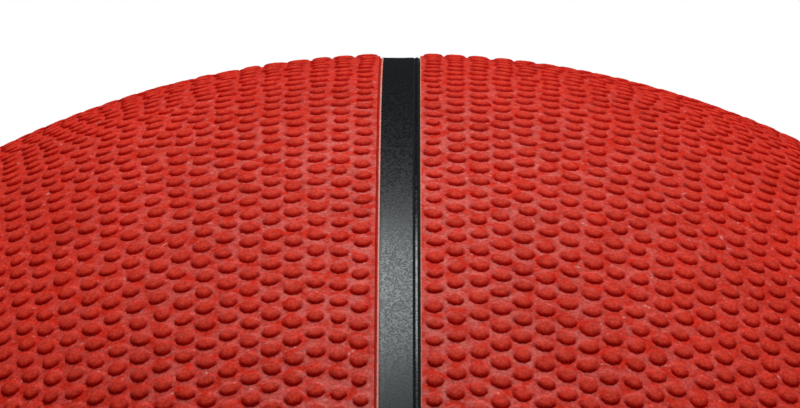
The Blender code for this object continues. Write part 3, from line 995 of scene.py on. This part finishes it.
def addValve(housingRubber, plugRubber):
    housing = turnedMesh("valveHousing", valveSeat["housing"], housingRubber, True)
    plug = turnedMesh("valvePlug", valveSeat["plug"], plugRubber, False)
    addPiece("valve_housing_turned", housing, "valve_housing")
    addPiece("valve_plug_turned", plug, "valve_plug", body="valve_plug")


# Inner layers keep their CAD shapes

def finishNode(node, material):
    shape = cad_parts[node].data
    shape.materials.clear()
    shape.materials.append(material)


# Stage

studio = {
    "floor": "#b0b0ae",
    "floorRoughness": 0.8,
    "floorSpecular": 0.1,
    "floorLift": 0.45,  # makes the floor pale to the camera
    "floorShape": {"vertices": 96, "radius": 1.0, "fill_type": "NGON"},
    "fade": span(0.22, 0.9, 1.0, 0.0, "SMOOTHSTEP"),  # into the white behind the floor
    "room": "#2a2a2a",
    "roomShape": {"segments": 48, "ring_count": 24, "radius": 8.0},
    "roomGlow": 0.02,
    "lights": (  # place, size and watts
        ((0.12, -0.14, 1.15), 0.42, 8.7),
        ((0.0, -0.9, 1.15), 1.0, 3.9),
        ((1.0, 0.85, 0.2), 0.5, 3.4),
        ((-1.0, 0.85, 0.2), 0.5, 3.4),
    ),
}


def seenStraight(add):  # 1 for what the camera sees, in person or through gloss or glass
    path = add("LightPath").node.outputs
    seen = path["Is Camera Ray"]
    for ray in ("Is Glossy Ray", "Is Transmission Ray"):
        seen = add("Math", {"operation": "MAXIMUM", 0: seen, 1: path[ray]})
    return seen


def addFloor():
    bpy.ops.mesh.primitive_circle_add(**studio["floorShape"], location=(0, 0, -radius))
    floor = bpy.context.object
    floor.name = "paleFloor"
    material, shader, add = newMaterial("paintedPaleFloor")
    spot = add("TexCoord", output="Object")
    away = add("VectorMath", {"operation": "LENGTH", 0: spot}, "Value")
    lift = {"operation": "MULTIPLY", 0: seenStraight(add), 1: studio["floorLift"]}
    setNode(shader, {
        "Base Color": linear(studio["floor"]),
        "Roughness": studio["floorRoughness"],
        "Specular IOR Level": studio["floorSpecular"],
        "Alpha": add("MapRange", {"Value": away, **studio["fade"]}),
        "Emission Strength": add("Math", lift),
    })
    floor.data.materials.append(material)


def addRoom():  # grey walls all round, seen by light but not by the camera
    bpy.ops.mesh.primitive_uv_sphere_add(**studio["roomShape"])
    room = bpy.context.object
    room.name = "greyRoom"
    material, shader, _ = newMaterial("greyStudioWall")
    setNode(shader, {
        "Base Color": linear(studio["room"]),
        "Roughness": 1.0,
        "Specular IOR Level": 0.0,
        "Emission Strength": studio["roomGlow"],
    })
    room.data.materials.append(material)
    room.visible_camera = False
    room.visible_transmission = False
    room.visible_shadow = False


def addWorld():
    world = bpy.data.worlds.new("whiteBehind")
    bpy.context.scene.world = world
    world.use_nodes = True
    nodes = world.node_tree.nodes
    add = partial(addNode, world.node_tree)
    dim = nodes["Background"]
    setNode(dim, {"Color": white, "Strength": studio["roomGlow"]})
    bright = add("Background", {"Color": white})
    mixed = add("MixShader", {0: seenStraight(add), 1: dim.outputs[0], 2: bright})
    setNode(nodes["World Output"], {"Surface": mixed})


def addLights():
    for number, (place, size, watts) in enumerate(studio["lights"]):
        data = bpy.data.lights.new(f"softbox{number}", "AREA")
        data.size = size
        data.energy = watts
        light = bpy.data.objects.new(f"softbox{number}", data)
        back = Vector(place).normalized()
        right = Vector((0, 1, 0)).cross(back).normalized()
        turn = Matrix((right, back.cross(right), back)).transposed()
        light.matrix_world = Matrix.Translation(place) @ turn.to_4x4()  # faces the ball's centre
        light.visible_camera = False
        bpy.context.scene.collection.objects.link(light)


shot = {
    "distance": 5 * radius,
    "round": 0.304,  # degrees round the ball, to the right of its top seam
    "tilt": 9.644,  # degrees up
    "yaw": 0.044,  # degrees to the left
    "roll": -0.228,
    "lens": 205.62,
    "nearest": 0.05,
    "farthest": 60,
}


def addCamera():
    data = bpy.data.cameras.new("photoCamera")
    data.lens = shot["lens"]
    data.clip_start = shot["nearest"]
    data.clip_end = shot["farthest"]
    camera = bpy.data.objects.new("photoCamera", data)
    bpy.context.scene.collection.objects.link(camera)
    camera.matrix_world = (
        Matrix.Rotation(math.radians(shot["round"]), 4, "Z")
        @ Matrix.Translation((0, -shot["distance"], 0))
        @ Matrix.Rotation(math.radians(shot["yaw"]), 4, "Z")
        @ Matrix.Rotation(math.radians(90 + shot["tilt"]), 4, "X")
        @ Matrix.Rotation(math.radians(shot["roll"]), 4, "Z")
    )
    bpy.context.scene.camera = camera


bpy.context.scene.view_settings.view_transform = "Standard"
addCamera()
addLights()
addWorld()
addRoom()
addFloor()
print("stage set")
addCover(makeCoverRubber(coverRubber))
print("cover made")
addChannels(makeChannelPaint(channelPaint))
print("channels made")
addValve(makePlainRubber("mouldedValveRubber"), makePlainRubber("mouldedPlugRubber"))
print("valve made")
finishNode("carcass", makePlainRubber("mouldedCarcassRubber"))
finishNode("bladder", makePlainRubber("dippedButylRubber"))
finishNode("thread_winding", makeThread("woundNylonThread"))
finishNode("valve_patch", makeThread("wovenCottonPatch"))
print("inner layers finished")
